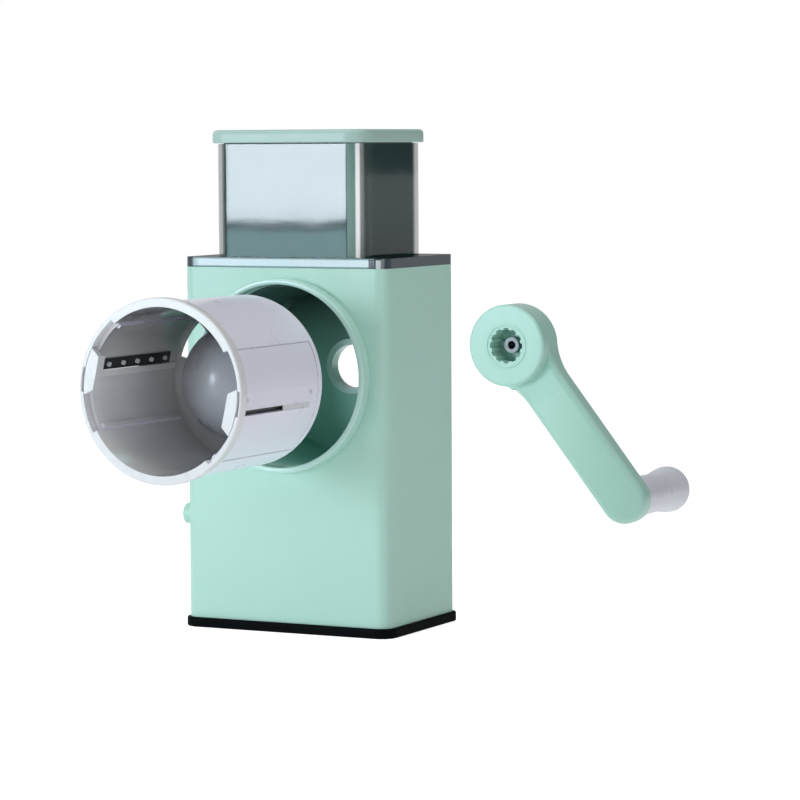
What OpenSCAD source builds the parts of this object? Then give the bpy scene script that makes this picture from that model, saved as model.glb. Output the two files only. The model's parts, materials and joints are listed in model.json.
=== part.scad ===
// Rotary vegetable shredder: a square body with a drum that draws out of its front,
// a smoke hopper with a pusher on top, a crank that plugs into the drum from behind
// and a suction foot worked by a lever on the left side.
// Origin: centre of the flat underside on the table. +X right, +Y back, +Z up.
// The drum and the crank are drawn pulled off along the drum's axis.

/* [Body] */
// Width of the body shell, left to right
body_w = 131; // [127:0.5:137]
// How far the shell stands out past the lid, front and back
body_shoulder = 1.5; // [0.5:0.25:4]
// Radius of the shell's four upright corners
body_corner_r = 7.5; // [5:0.5:10]
// Wall of the body shell
shell_wall = 2.5; // [2:0.1:3]
// Height from the table to the top of the hopper's flange
flange_top_z = 213; // [212:0.5:220]
// Height of the drum's axis above the table
axis_z = 146.5; // [145:0.5:148]

/* [Base] */
// How far the base stands out past the shell all round
base_margin = 2; // [1:0.25:3]
// Thickness of the black base
base_h = 5.5; // [5:0.25:7]
// Radius of the suction cup
cup_r = 41; // [38:0.5:42]
// Height that the cup's rim takes up under the base
cup_rim_h = 3; // [2.5:0.1:3.2]
// Diameter of the four base screws
screw_d = 3; // [2.5:0.1:3.4]

/* [Front opening] */
// Room between the drum's housing and the shell's side walls
housing_side_gap = 8.5; // [6:0.25:10]
// How far the collar's inside stands in from the housing's
collar_step = 0.8; // [0.3:0.1:1.3]
// Wall of the collar
collar_wall = 3.3; // [2.5:0.1:4]
// How far the collar stands out of the front
collar_proud = 8; // [5:0.5:10]
// Depth of the collar from its lip inwards
collar_depth = 18; // [14:0.5:20]
// Wall of the drum's housing
housing_wall = 2; // [1.6:0.1:2.4]

/* [Hopper] */
// Width of the lid
lid_w = 102; // [98:0.5:106]
// Depth of the lid
lid_d = 85; // [83:0.5:86]
// Height from the flange's top to the lid's top
lid_rise = 72; // [60:1:85]
// Thickness of the lid
lid_t = 7.5; // [6:0.25:9]
// How far the lid stands out past the hopper all round
lid_margin = 3; // [2.5:0.25:4]
// Wall of the hopper
hopper_wall = 2.2; // [1.8:0.1:2.6]
// Thickness of the flange under the hopper
flange_t = 5.7; // [4.5:0.1:6.5]
// Gap between the pusher and the hopper's walls
pusher_gap = 1; // [0.6:0.1:1.5]
// Wall of the pusher's box
pusher_wall = 2; // [1.6:0.1:2.4]

/* [Drum] */
// Length of the drum
drum_len = 93.5; // [90:0.5:94]
// Gap between the drum's front rim and the collar
rim_gap = 1.7; // [1.3:0.1:2.2]
// Wall of the drum
drum_wall = 2.5; // [2:0.1:3]
// How far the drum's front rim stands out past its wall
rim_proud = 2.5; // [2:0.1:3]
// Length of the drum's front rim
rim_len = 6; // [4:0.5:8]
// Share of the drum's inner radius that the dome inside it takes
dome_share = 0.735; // [0.71:0.005:0.77]
// Length of the straight part behind the dome
dome_skirt = 5; // [3:0.5:8]
// How far the drum stands pulled out of the body
drum_pull = 123.5; // [115:0.5:130]

/* [Blade panels] */
// Angle that one blade panel covers
panel_angle = 81; // [66:1:84]
// Turn of the left panel's middle above the left horizontal
panel_turn = 11.5; // [5:0.5:20]
// Turn of the cutting slot from its panel's middle
slot_turn = 1; // [0:0.5:8]
// Width of the cutting slot
slot_w = 4.5; // [3.5:0.1:6]
// How far the panel's front end lies behind the drum's front
panel_recess = 5; // [3:0.5:7]
// Turn of the finger tab from its panel's middle
tab_turn = 1; // [0:0.5:4]
// Width of the finger tab at its root
tab_w = 28; // [22:1:32]
// How far the finger tab stands in from the drum's wall
tab_drop = 4.5; // [3:0.25:6]
// Length of the finger tab along the drum
tab_len = 7; // [6:0.5:9]
// Spacing of the small studs along the slot
stud_pitch = 14.6; // [10:0.2:18]
// Thickness of the steel blade
blade_t = 0.8; // [0.6:0.1:1.2]

/* [Drive] */
// Radius of the bore through the drive bush
bush_bore_r = 12.75; // [12.6:0.05:13]
// Outer radius of the drive bush in the rear wall
bush_r = 14.7; // [14.5:0.1:15.2]
// Outer radius of the shaft's spline
spline_r = 11; // [10.8:0.05:11.3]
// Depth of the spline's grooves
spline_tooth_h = 0.9; // [0.6:0.1:1.1]
// Length of the spline
spline_len = 15; // [12:0.5:17]

/* [Crank] */
// Radius of the crank's hub
hub_r = 26.5; // [25:0.5:28]
// Length of the crank's hub along the axis
hub_len = 24; // [22:0.5:28]
// Distance from the drum's axis to the grip's axis
crank_throw = 124; // [112:1:125]
// Radius of the arm's lower end
arm_end_r = 15.5; // [14:0.5:16.5]
// Thickness of the arm
arm_t = 15; // [13:0.5:17]
// Turn of the arm from straight down towards the right
arm_turn = 38; // [0:1:60]
// How far the crank stands pulled off the body
crank_pull = 204.3; // [190:0.5:215]
// Length of the grip
grip_len = 74; // [64:1:82]
// Radius of the grip's narrow part
grip_neck_r = 12.7; // [12:0.1:13.5]
// Radius of the grip's thick end
grip_bulb_r = 15.2; // [14:0.1:16.5]
// Radius of the grip's axle
axle_r = 4; // [3.5:0.1:4.5]

/* [Suction lever] */
// Height of the lever's shaft
lever_z = 63; // [60:0.5:66]
// Place of the lever's shaft behind the middle
lever_y = 4; // [2:0.5:8]
// Length of the lever from its shaft to its tip
lever_len = 34; // [28:1:40]
// Height of the lever's arm
lever_h = 12; // [10:0.5:13]
// Thickness of the lever
lever_t = 9.3; // [7:0.1:11]
// Lift that the cam gives the cup's stem over a quarter turn
stem_lift = 3; // [2:0.1:3.2]

/* [Hidden] */
$fn = 96;
// Overrun of every cut past the face it opens
over = 1;
// Gap between surfaces of different bodies
gap = 0.3;
// Radial gap of a shaft that turns in its bore
running_gap = 0.08;

// Body
body_d = lid_d + 2 * body_shoulder;
deck_z = flange_top_z - flange_t;
front_y = -body_d / 2;
rear_y = body_d / 2;
lip_y = front_y - collar_proud;
collar_back_y = lip_y + collar_depth;
housing_r = body_w / 2 - shell_wall - housing_side_gap - housing_wall;
collar_r = housing_r - collar_step;
collar_out_r = collar_r + collar_wall;
rim_r = collar_r - rim_gap;
drum_r = rim_r - rim_proud;
shell_in_w = body_w - 2 * shell_wall;
shell_in_d = body_d - 2 * shell_wall;
shell_in_r = body_corner_r - shell_wall;
wall_back_y = rear_y - shell_wall;
wall_front_y = wall_back_y - housing_wall;
housing_out_r = housing_r + housing_wall;
bush_hole_r = bush_r + running_gap;

// Hopper and pusher
hopper_w = lid_w - 2 * lid_margin;
hopper_d = lid_d - 2 * lid_margin;
hopper_r = 10;
throat_w = hopper_w - 2 * hopper_wall;
throat_d = hopper_d - 2 * hopper_wall;
throat_r = hopper_r - hopper_wall;
lid_z = flange_top_z + lid_rise - lid_t;
lid_r = hopper_r + lid_margin;
spigot_gap = 0.4;
spigot_bottom_z = deck_z - shell_wall + gap;
chute_top_z = deck_z - shell_wall;
pusher_w = throat_w - 2 * pusher_gap;
pusher_d = throat_d - 2 * pusher_gap;
pusher_r = throat_r - pusher_gap;
pusher_drum_gap = 2.5;
pusher_drop = 9;
pusher_bottom_z = axis_z + drum_r - pusher_drop;
pusher_floor_t = 3;
cap_top_t = 2.5;
rib_h = 8;
rib_gap = 0.1;
catch_inset = 10.7;
catch_w = 7;
catch_d = 3;
catch_height_share = 0.85;

// Base, cup and screws
base_w = body_w + 2 * base_margin;
base_d = body_d + 2 * base_margin;
base_r = body_corner_r + base_margin;
skirt_h = 6;
skirt_wall = 2;
cup_gap = 0.2;
boss_r = 9;
boss_fillet = 1;
base_bore_r = 15;
boss_top_z = 16;
cup_foot_r = 6;
cup_foot_h = 2.5;
cup_foot_z = 8.4;
cup_neck_r = 4;
stem_r = 3.5;
bell_t = 2.5;
bell_r = body_d / 2 - shell_wall - skirt_wall - 2 * gap;
bell_dome_r = 24;
bell_top_z = 26;
screw_head_r = screw_d;
screw_head_h = 2.2;
screw_len = 14;
screw_boss_r = 4.5;
screw_x = body_w / 2 - shell_wall - screw_boss_r + 0.5 * shell_wall;
screw_y = body_d / 2 - shell_wall - screw_boss_r + 0.5 * shell_wall;
screw_boss_h = 26;

// Lever, shaft, cam and stem
shaft_r = 4;
cam_r = 9;
cam_throw = stem_lift / sqrt(2);
cam_t = 8;
slot_gap = 0.35;
yoke_t = cam_t;
yoke_wall = 4;
yoke_slot_h = 2 * (cam_r + slot_gap) + stem_lift;
yoke_slot_w = 2 * (cam_r + cam_throw + slot_gap);
yoke_h = yoke_slot_h + 2 * yoke_wall;
yoke_w = yoke_slot_w + 2 * yoke_wall;
ear_gap = 1.5;
ear_t = 4;
ear_w = 18;
ear_x = yoke_t / 2 + ear_gap;
shaft_overhang = 2;
shaft_end_x = ear_x + ear_t + shaft_overhang;
lever_gap = 0.7;
lever_x = -body_w / 2 - lever_gap;
lever_hub_r = 9;
lever_screw_h = 1.6;

// Drum
rim_relief = 1.2;
rim_relief_start = 2;
rim_relief_end = 14;
drum_back_gap = 2;
drum_rear_y = wall_front_y - drum_back_gap - drum_pull;
drum_in_r = drum_r - drum_wall;
dome_r = drum_in_r * dome_share;
drum_back_t = 2.5;
dome_wall = 2.5;
dome_in_r = dome_r - dome_wall;
window_rim = 1.5;
window_in_r = dome_r + window_rim;
window_out_r = drum_in_r - window_rim;
window_angle = 31;
window_turn = 147.5;
shaft_plate_t = 3;
shaft_bore_r = 5.6;
journal_r = bush_bore_r - gap;
journal_tail = 2.3;
journal_len = rear_y + journal_tail - (wall_front_y - drum_back_gap);
spline_teeth = 12;
spline_share = 0.5;
post_r = 3;
post_inset = 7.5;
post_at_r = dome_in_r - post_inset;
post_screw_len = 12;

// Panels
panel_out_r = drum_r - gap;
panel_start = 4;
panel_edge_gap_angle = 0.5;
lip_t = 1.3;
lip_angle = 2;
lip_inset_angle = 0.5;
tab_in_r = drum_in_r - tab_drop;
tab_tip_share = 0.65;
slot_back = 12;
slot_front = 10;
slot_start = slot_back;
slot_end = drum_len - slot_front;
blade_w = 8;
blade_over = 1.5;
blade_start = slot_start - blade_over;
blade_len = slot_end - slot_start + 2 * blade_over;
blade_rise = 0.6;
blade_bevel = 1.6;
blade_edge_y = slot_w / 4;
blade_back_y = slot_w / 2 + blade_w;
blade_back_x = sqrt(pow(panel_out_r, 2) - pow(blade_back_y, 2));
blade_edge_x = panel_out_r + blade_rise;
blade_tilt = atan2(blade_edge_x - blade_back_x, blade_back_y - blade_edge_y);
blade_run = norm([blade_edge_x - blade_back_x, blade_back_y - blade_edge_y]);
comb_w = 6;
comb_over = 1.8;
comb_t = 0.8;
comb_x = sqrt(pow(drum_in_r, 2) - pow(slot_w / 2 + comb_w - comb_over, 2)) - comb_t;
comb_mid_y = comb_over - (slot_w + comb_w) / 2;
stud_r = 1.3;
stud_h = 1.4;
panel_mid = 180 - panel_turn;
tab_mid = panel_mid - tab_turn;
slot_mid = panel_mid - slot_turn;
rivet_r = 1.1;
rivet_h = 0.7;

// Bush
bush_flange_rim = 1.8;
bush_flange_r = bush_r + bush_flange_rim;
bush_flange_t = 1.5;
bush_tail = 2;
clip_t = 1.2;
clip_rim = 2.2;
clip_r = bush_r + clip_rim;
clip_groove = 1;
clip_gap_angle = 30;

// Crank
hub_gap = 3.2;
hub_face_y = rear_y + hub_gap + crank_pull;
ring_r = 14.3;
ring_wall = 1.2;
ring_h = 0.6;
socket_gap = 1.2;
socket_depth = spline_len + socket_gap;
sleeve_r = shaft_bore_r - gap;
sleeve_bore_r = 2.5;
sleeve_len = 8;
sleeve_root = 4;
arm_fillet_r = 40;
arm_fillet_y = sqrt(pow(hub_r + arm_fillet_r, 2) - pow(arm_end_r + arm_fillet_r, 2));
hub_touch_share = hub_r / (hub_r + arm_fillet_r);
grip_gap = 0.4;
axle_root = 9;
axle_head_r = 6;
axle_head_t = 2.5;
grip_flare = 0.8;
grip_steps = 16;
grip_swell_share = 0.34;
grip_cap_share = 0.8;
grip_top_share = 1 - grip_bulb_r / grip_len * grip_cap_share;
grip_body_len = grip_len * grip_top_share;
axle_len = grip_body_len - gap - axle_head_t;

// Flat rectangle with rounded corners, centred
module rounded_rect(w, d, r) {
    square([w - 2 * r, d], center = true);
    square([w, d - 2 * r], center = true);
    for (sx = [-1, 1], sy = [-1, 1])
        translate([sx * (w / 2 - r), sy * (d / 2 - r)]) circle(r = r);
}

// Upright block with rounded corners, from z up by h
module slab(w, d, r, z, h) {
    translate([0, 0, z]) linear_extrude(height = h) rounded_rect(w, d, r);
}

// Places a shape on the drum's axis at depth y: its +Z runs to the front, its +Y stays up
module on_axis(y) {
    translate([0, y, axis_z]) rotate([90, 0, 0]) children();
}

// Ring of inner radius a and outer radius b, height h
module ring(a, b, h) {
    difference() {
        cylinder(r = b, h = h);
        translate([0, 0, -over]) cylinder(r = a, h = h + 2 * over);
    }
}

// Pie slice from angle a0 to a1, reaching out to radius r, for angles under 180
module pie(a0, a1, r) {
    mid = (a0 + a1) / 2;
    reach = r / cos((a1 - a0) / 4);
    polygon([
        [0, 0],
        [reach * cos(a0), reach * sin(a0)],
        [reach * cos(mid), reach * sin(mid)],
        [reach * cos(a1), reach * sin(a1)]
    ]);
}

// Curved plate between radii a and b, from angle a0 to a1, from z by h
module curved_plate(a, b, a0, a1, z, h) {
    translate([0, 0, z]) intersection() {
        ring(a, b, h);
        translate([0, 0, -over]) linear_extrude(height = h + 2 * over) pie(a0, a1, 2 * b);
    }
}

// Cross-section of the spline, grown by extra for the socket
module spline_section(extra) {
    tooth_arc = 360 / spline_teeth * spline_share;
    tooth_half = (spline_r - spline_tooth_h) * sin(tooth_arc / 2) + extra;
    circle(r = spline_r - spline_tooth_h + extra);
    for (i = [0 : spline_teeth - 1]) rotate(i * 360 / spline_teeth)
        translate([0, -tooth_half]) square([spline_r + extra, 2 * tooth_half]);
}

// Shell and bosses of the body, with the collar's inner part
module body_shell() {
    color("#b2dad0") difference() {
        union() {
            slab(body_w, body_d, body_corner_r, base_h, deck_z - base_h);
            on_axis(collar_back_y) cylinder(r = collar_out_r, h = collar_depth - collar_proud);
        }
        difference() {
            slab(shell_in_w, shell_in_d, shell_in_r, base_h - over, deck_z - shell_wall - base_h + over);
            on_axis(collar_back_y) cylinder(r = collar_out_r, h = collar_depth - collar_proud);
            screw_bosses();
        }
        on_axis(collar_back_y + over) cylinder(r = collar_r, h = collar_depth + 2 * over);
        on_axis(rear_y + over) cylinder(r = bush_hole_r, h = shell_wall + 2 * over);
        slab(hopper_w + 2 * spigot_gap, hopper_d + 2 * spigot_gap, hopper_r + spigot_gap,
            deck_z - shell_wall - over, shell_wall + 2 * over);
        throat_cut();
        lever_hole();
        for (sx = [-1, 1], sy = [-1, 1]) translate([sx * screw_x, sy * screw_y, base_h - over])
            cylinder(d = screw_d, h = screw_len + over);
    }
}

// Raised ring round the front opening, seated on the shell's front face
module front_collar() {
    color("#b2dad0") on_axis(front_y) ring(collar_r, collar_out_r, collar_proud);
}

// Corner pillars that the base screws bite into
module screw_bosses() {
    for (sx = [-1, 1], sy = [-1, 1]) translate([sx * screw_x, sy * screw_y, base_h])
        cylinder(r = screw_boss_r, h = screw_boss_h);
}

// Way from the hopper down to the drum
module throat_cut() {
    slab(throat_w, throat_d, throat_r, axis_z, lid_z - axis_z);
}

module lever_hole() {
    translate([-body_w / 2 - over, lever_y, lever_z]) rotate([0, 90, 0])
        cylinder(r = shaft_r + running_gap, h = shell_wall + 2 * over);
}

// Round chamber that the drum turns in, with its chute and its rear wall
module drum_housing() {
    color("#a4cdc2") difference() {
        union() {
            on_axis(wall_back_y) cylinder(r = housing_out_r, h = wall_back_y - collar_back_y);
            intersection() {
                slab(hopper_w, hopper_d, hopper_r, axis_z, chute_top_z - axis_z);
                translate([-hopper_w / 2, collar_back_y, axis_z])
                    cube([hopper_w, wall_back_y - collar_back_y, chute_top_z - axis_z]);
            }
        }
        on_axis(wall_front_y) cylinder(r = housing_r, h = wall_front_y - collar_back_y + over);
        throat_cut();
        on_axis(wall_back_y + over) cylinder(r = bush_hole_r, h = housing_wall + 2 * over);
    }
}

// Black base with its skirt, cup recess and screw holes
module base_plate() {
    color("#1c1d1f") difference() {
        union() {
            slab(base_w, base_d, base_r, 0, base_h);
            difference() {
                slab(shell_in_w - 2 * gap, shell_in_d - 2 * gap, shell_in_r - gap, base_h, skirt_h);
                slab(shell_in_w - 2 * (gap + skirt_wall), shell_in_d - 2 * (gap + skirt_wall),
                    shell_in_r - gap, base_h, skirt_h + over);
                for (sx = [-1, 1], sy = [-1, 1]) translate([sx * screw_x, sy * screw_y, base_h])
                    cylinder(r = screw_boss_r + gap, h = skirt_h + over);
            }
        }
        translate([0, 0, -over]) cylinder(r = cup_r + cup_gap, h = cup_rim_h + cup_gap + over);
        cylinder(r = base_bore_r, h = base_h + over);
        for (sx = [-1, 1], sy = [-1, 1]) translate([sx * screw_x, sy * screw_y, -over]) {
            cylinder(d = screw_d, h = base_h + 2 * over);
            cylinder(r = screw_head_r + gap, h = screw_head_h + gap + over);
        }
    }
}

// Cross in a screw's head of radius r, cut down to a depth
module cross_recess(r, depth) {
    for (turn = [0, 90]) rotate(turn) translate([-r / 2, -r / 8, -over]) cube([r, r / 4, over + depth]);
}

module base_screws() {
    color("#b8babd") for (sx = [-1, 1], sy = [-1, 1])
        translate([sx * screw_x, sy * screw_y, gap]) difference() {
            union() {
                cylinder(r = screw_head_r, h = screw_head_h);
                cylinder(d = screw_d, h = base_h + screw_len - 2 * gap);
            }
            cross_recess(screw_head_r, screw_head_h / 2);
        }
}

// Rubber cup with a pocket for the stem's foot
module suction_cup() {
    color("#2a2c2e") difference() {
        rotate_extrude() polygon([
            [0, 0], [cup_r, 0], [cup_r, cup_rim_h / 2], [cup_r * 0.85, cup_rim_h],
            [boss_r + boss_fillet, cup_rim_h], [boss_r, cup_rim_h + boss_fillet],
            [boss_r, boss_top_z], [0, boss_top_z]
        ]);
        translate([0, 0, cup_foot_z]) cylinder(r = cup_foot_r + gap, h = cup_foot_h + stem_lift + gap);
        translate([0, 0, cup_foot_z]) cylinder(r = cup_neck_r, h = boss_top_z);
    }
}

// Cover over the cup, with the stem's guide and the shaft's two ears
module suction_bell() {
    color("#dfe3e2") difference() {
        union() {
            translate([0, 0, base_h]) ring(base_bore_r, bell_r, bell_t);
            translate([0, 0, base_h]) difference() {
                cylinder(r = bell_dome_r, h = bell_top_z - base_h);
                translate([0, 0, -over])
                    cylinder(r = bell_dome_r - bell_t, h = bell_top_z - base_h - bell_t + over);
            }
            for (side = [-1, 1]) translate([side * (ear_x + ear_t / 2), lever_y, 0]) {
                translate([0, 0, (bell_top_z + lever_z) / 2])
                    cube([ear_t, ear_w, lever_z - bell_top_z], center = true);
                translate([-ear_t / 2, 0, lever_z]) rotate([0, 90, 0]) cylinder(d = ear_w, h = ear_t);
            }
        }
        translate([0, 0, bell_top_z - bell_t - over]) cylinder(r = stem_r + gap, h = bell_t + 2 * over);
        translate([-shaft_end_x, lever_y, lever_z]) rotate([0, 90, 0])
            cylinder(r = shaft_r + running_gap, h = 2 * shaft_end_x);
    }
}

// Stem with its foot in the cup and its yoke round the cam, its slot as tall as the cam's travel
module suction_stem() {
    color("#c9cccb") {
        translate([0, 0, cup_foot_z + gap / 2]) cylinder(r = cup_foot_r, h = cup_foot_h);
        translate([0, 0, cup_foot_z + gap / 2]) cylinder(r = stem_r, h = lever_z - yoke_h / 2 - cup_foot_z);
        translate([-yoke_t / 2, lever_y, lever_z]) rotate([90, 0, 90])
            linear_extrude(height = yoke_t) difference() {
                square([yoke_w, yoke_h], center = true);
                square([yoke_slot_w, yoke_slot_h], center = true);
            }
        if (lever_y + stem_r > yoke_w / 2)
            translate([-yoke_t / 2, -stem_r, lever_z - yoke_h / 2])
                cube([yoke_t, lever_y + stem_r, yoke_wall]);
    }
}

module cam_shaft() {
    color("#b8babd") translate([lever_x - lever_t + lever_screw_h + gap, lever_y, lever_z])
        rotate([0, 90, 0]) cylinder(r = shaft_r, h = shaft_end_x - lever_x + lever_t - lever_screw_h - gap);
}

// Eccentric disc that lifts the stem: its high side starts low and to the front
module lift_cam() {
    color("#8f9496") translate([-cam_t / 2, lever_y, lever_z]) rotate([90, 0, 90])
        linear_extrude(height = cam_t) difference() {
            translate([-cam_throw * cos(45), -cam_throw * sin(45)]) circle(r = cam_r);
            circle(r = shaft_r);
        }
}

// Lever on the left side, its arm lying forward
module suction_lever() {
    color("#b2dad0") translate([lever_x, lever_y, lever_z]) rotate([0, -90, 0])
        difference() {
            linear_extrude(height = lever_t) {
                circle(r = lever_hub_r);
                translate([-lever_h / 2, -lever_len + lever_h / 2])
                    square([lever_h, lever_len - lever_h / 2]);
                translate([0, -lever_len + lever_h / 2]) circle(d = lever_h);
            }
            translate([0, 0, -over]) cylinder(r = shaft_r, h = lever_t + 2 * over);
            translate([0, 0, lever_t - lever_screw_h])
                cylinder(r = shaft_r + lever_screw_h, h = lever_screw_h + over);
        }
}

module lever_screw() {
    color("#b8babd") translate([lever_x - lever_t, lever_y, lever_z]) rotate([0, 90, 0]) difference() {
        cylinder(r = shaft_r + lever_screw_h, h = lever_screw_h);
        cross_recess(shaft_r, lever_screw_h / 2);
    }
}

// Bush that turns in the rear wall, carrying the drum's shaft
module drive_bush() {
    color("#8fbdb2") on_axis(wall_front_y) difference() {
        union() {
            cylinder(r = bush_flange_r, h = bush_flange_t);
            translate([0, 0, -(rear_y - wall_front_y) - bush_tail])
                cylinder(r = bush_r, h = rear_y - wall_front_y + bush_tail);
        }
        translate([0, 0, -(rear_y - wall_front_y) - bush_tail - over])
            cylinder(r = bush_bore_r, h = rear_y - wall_front_y + bush_tail + bush_flange_t + 2 * over);
        translate([0, 0, -(rear_y - wall_front_y) - gap - clip_t])
            ring(bush_r - clip_groove, bush_r + over, clip_t);
    }
}

// Spring clip in the bush's groove behind the body
module bush_clip() {
    color("#a9adb0") on_axis(rear_y + gap + clip_t) difference() {
        ring(bush_r - clip_groove, clip_r, clip_t);
        translate([0, 0, -over]) linear_extrude(height = clip_t + 2 * over)
            pie(90 - clip_gap_angle / 2, 90 + clip_gap_angle / 2, 2 * clip_r);
    }
}

// Smoke hopper: four walls, a flange over the deck and a spigot into it
module hopper() {
    color("#4a5f5d", 0.5) difference() {
        union() {
            slab(body_w, body_d, body_corner_r, deck_z, flange_t);
            slab(hopper_w, hopper_d, hopper_r, spigot_bottom_z, lid_z - gap - spigot_bottom_z);
        }
        slab(throat_w, throat_d, throat_r, spigot_bottom_z - over, lid_z - spigot_bottom_z + 2 * over);
        catch_block(rib_gap);
    }
}

// Catch in the flange's front right corner
module flange_catch() {
    color("#2c3436") intersection() {
        catch_block(0);
        slab(body_w, body_d, body_corner_r, deck_z, flange_t);
    }
}

// Block that the catch is cut from, and its pocket in the flange
module catch_block(extra) {
    translate([body_w / 2 - catch_inset - extra, front_y - over, deck_z - extra])
        cube([catch_w + 2 * extra, catch_d + over + extra, flange_t * catch_height_share + 2 * extra]);
}

// Lid with a hollow underside and a rib that locates it in the pusher's box
module pusher_cap() {
    rib_out = 2 * (pusher_wall + rib_gap);
    rib_in = 2 * pusher_wall + rib_out;
    color("#bfe3da") difference() {
        union() {
            slab(lid_w, lid_d, lid_r, lid_z, lid_t);
            slab(pusher_w - rib_out, pusher_d - rib_out, pusher_r, lid_z - rib_h, rib_h + over);
        }
        slab(pusher_w - rib_in, pusher_d - rib_in, pusher_r,
            lid_z - rib_h - over, rib_h + lid_t - cap_top_t + over);
    }
}

// Hollow block that presses on the drum, its floor curved to it
module pusher_box() {
    color("#41605c") difference() {
        slab(pusher_w, pusher_d, pusher_r, pusher_bottom_z, lid_z - pusher_bottom_z);
        difference() {
            slab(pusher_w - 2 * pusher_wall, pusher_d - 2 * pusher_wall, pusher_r,
                pusher_bottom_z + pusher_floor_t, lid_z - pusher_bottom_z);
            on_axis(rear_y) cylinder(r = drum_r + pusher_drum_gap + pusher_floor_t, h = body_d);
        }
        on_axis(rear_y) cylinder(r = drum_r + pusher_drum_gap, h = body_d);
    }
}

// Open drum: wall, front rim and rear wall with two windows
module drum_shell() {
    color("#cdd0dc") on_axis(drum_rear_y) difference() {
        union() {
            ring(drum_in_r, drum_r, drum_len);
            translate([0, 0, drum_len - rim_len]) ring(drum_in_r, rim_r, rim_len);
            cylinder(r = drum_r, h = drum_back_t);
        }
        translate([0, 0, -over]) cylinder(r = dome_in_r, h = drum_back_t + 2 * over);
        for (side = [0, 180]) rotate(side) {
            curved_plate(window_in_r, window_out_r, window_turn - window_angle / 2,
                window_turn + window_angle / 2, -over, drum_back_t + 2 * over);
            curved_plate(drum_in_r - over, drum_r + over, panel_mid - panel_angle / 2,
                panel_mid + panel_angle / 2, panel_start, drum_len - rim_len - panel_start);
            curved_plate(drum_in_r - over, drum_r, panel_mid - panel_angle / 2, panel_mid + panel_angle / 2,
                drum_len - rim_len - over, rim_len + 2 * over);
            curved_plate(drum_in_r, drum_r + rim_relief, slot_mid - rim_relief_start,
                slot_mid + rim_relief_end, drum_len - rim_len - over, rim_len + 2 * over);
        }
    }
}

// Hollow dome on the drum's rear wall, with the posts that the shaft's screws bite into
module drum_dome() {
    color("#c4c7d2") on_axis(drum_rear_y) difference() {
        intersection() {
            dome(dome_r, 0);
            translate([0, 0, drum_back_t]) cylinder(r = 2 * dome_r, h = 2 * dome_r);
        }
        difference() {
            dome(dome_in_r, over);
            at_posts() translate([0, 0, shaft_plate_t]) difference() {
                cylinder(r = post_r, h = dome_skirt + dome_r);
                cylinder(d = screw_d, h = post_screw_len - shaft_plate_t);
            }
        }
    }
}

// Round-nosed solid on a straight skirt, reaching back behind the drum's rear by drop
module dome(r, drop) {
    translate([0, 0, -drop]) cylinder(r = r, h = dome_skirt + drop);
    translate([0, 0, dome_skirt]) rotate_extrude() intersection() {
        circle(r = r);
        square([r, r]);
    }
}

// Plate in the dome's mouth with the journal and the spline behind it
module drum_shaft() {
    color("#dadce4") on_axis(drum_rear_y) difference() {
        union() {
            cylinder(r = dome_in_r, h = shaft_plate_t);
            translate([0, 0, -journal_len]) cylinder(r = journal_r, h = journal_len);
            translate([0, 0, -journal_len - spline_len])
                linear_extrude(height = spline_len) spline_section(0);
        }
        translate([0, 0, -journal_len - spline_len - over])
            cylinder(r = shaft_bore_r, h = journal_len + spline_len + over);
        at_posts() translate([0, 0, -over]) {
            cylinder(d = screw_d, h = shaft_plate_t + 2 * over);
            cylinder(r = screw_head_r, h = shaft_plate_t / 2 + over);
        }
    }
}

// Copies a shape to the dome's three screw posts
module at_posts() {
    for (i = [0 : 2]) rotate(i * 120 + 90) translate([post_at_r, 0, 0]) children();
}

module shaft_screws() {
    color("#b8babd") on_axis(drum_rear_y) at_posts() difference() {
        union() {
            cylinder(r = screw_head_r, h = shaft_plate_t / 2);
            cylinder(d = screw_d, h = post_screw_len);
        }
        cross_recess(screw_head_r, shaft_plate_t / 4);
    }
}

// Panel that slides out of the drum's side, with its slot, guide lips and finger tab
module blade_panel() {
    half = panel_angle / 2 - panel_edge_gap_angle;
    difference() {
        union() {
            curved_plate(drum_in_r, panel_out_r, panel_mid - half, panel_mid + half,
                panel_start + gap, drum_len - panel_start - gap - panel_recess);
            for (side = [-1, 1]) curved_plate(drum_in_r - lip_t, drum_in_r + gap,
                panel_mid + side * (half - lip_angle) - lip_angle + lip_inset_angle,
                panel_mid + side * (half - lip_angle) + lip_angle - lip_inset_angle,
                panel_start + gap + lip_t, drum_len - panel_start - rim_len - 2 * lip_t);
            finger_tab();
        }
        rotate(slot_mid) translate([drum_in_r - 2 * drum_wall, -slot_w / 2, slot_start])
            cube([4 * drum_wall, slot_w, slot_end - slot_start]);
        on_blade() translate([-blade_t, -blade_run - over, blade_start])
            cube([2 * drum_wall, blade_run + over, blade_len]);
    }
}

// Tapered grip plate at the panel's front
module finger_tab() {
    tip = tab_w / 2 * tab_tip_share;
    rotate(tab_mid) translate([0, 0, drum_len - tab_len]) linear_extrude(height = tab_len) intersection() {
        circle(r = panel_out_r);
        polygon([[tab_in_r, -tip], [panel_out_r, -tab_w / 2], [panel_out_r, tab_w / 2], [tab_in_r, tip]]);
    }
}

// Places a shape on the blade: origin at its back edge, -Y along it to the cutting edge, +X outwards
module on_blade() {
    rotate(slot_mid) translate([blade_back_x, blade_back_y, 0]) rotate(blade_tilt) children();
}

// Steel strip with its ground edge over the slot
module slicing_blade() {
    on_blade() translate([0, 0, blade_start]) linear_extrude(height = blade_len)
        polygon([[0, 0], [-blade_t, 0], [-blade_t, blade_bevel - blade_run], [0, -blade_run]]);
}

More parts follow.
